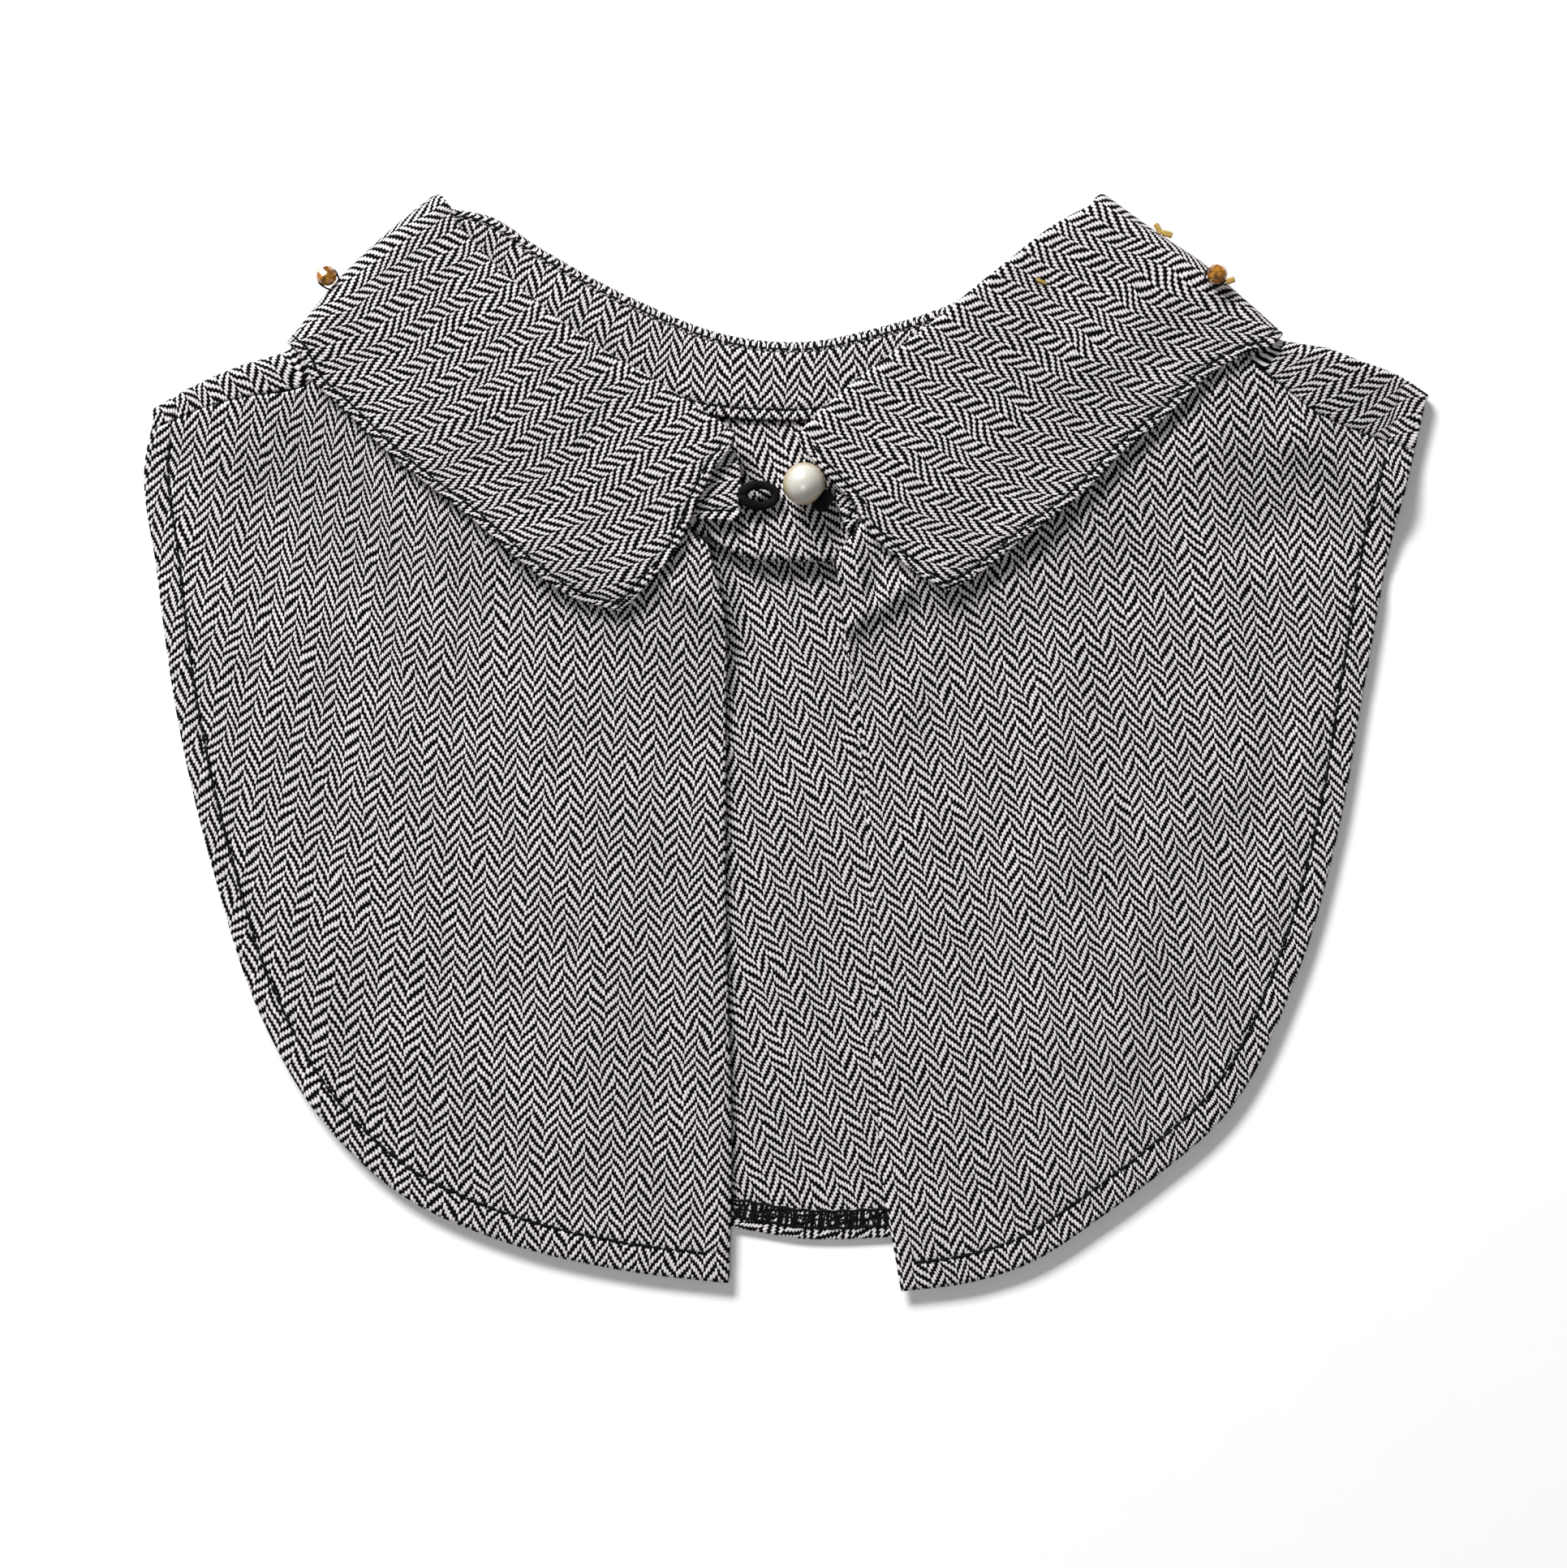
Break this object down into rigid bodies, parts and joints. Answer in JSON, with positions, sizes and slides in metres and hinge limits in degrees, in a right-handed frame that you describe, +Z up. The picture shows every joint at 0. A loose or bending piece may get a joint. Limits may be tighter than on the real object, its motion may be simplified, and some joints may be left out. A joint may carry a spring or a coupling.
{
  "type": "embellished detachable collar",
  "caption": "Detachable pointed shirt collar on a short open-fronted bib of herringbone cloth, laid flat on its back, with a pearl button, an elastic loop and beads at its sides.",
  "frame": {"origin": "middle of the outline, on the surface that the collar lies on", "axes": "+X to the right as seen from above, +Y from the hem to the neck, +Z up out of the surface"},
  "size_m": [0.3172, 0.2706, 0.0153],
  "materials": {
    "herringbone": "woven cloth, matt, black and white herringbone; its fibres are not known",
    "pearl": "soft pearl lustre",
    "black_elastic": "covered round elastic, matt",
    "black_thread": "wound sewing thread",
    "amber_glass": "clear amber glass with a gold lining, by its look"
  },
  "bodies": {
    "root": {"back_panel": "herringbone", "front_left": "herringbone", "front_right": "herringbone", "collar_stand": "herringbone", "collar_fall": "herringbone", "button_loop": "black_elastic", "pearl_button": "pearl", "button_shank": "black_thread", "amber_bead_left": "amber_glass", "amber_bead_right": "amber_glass"}
  },
  "joints": []
}
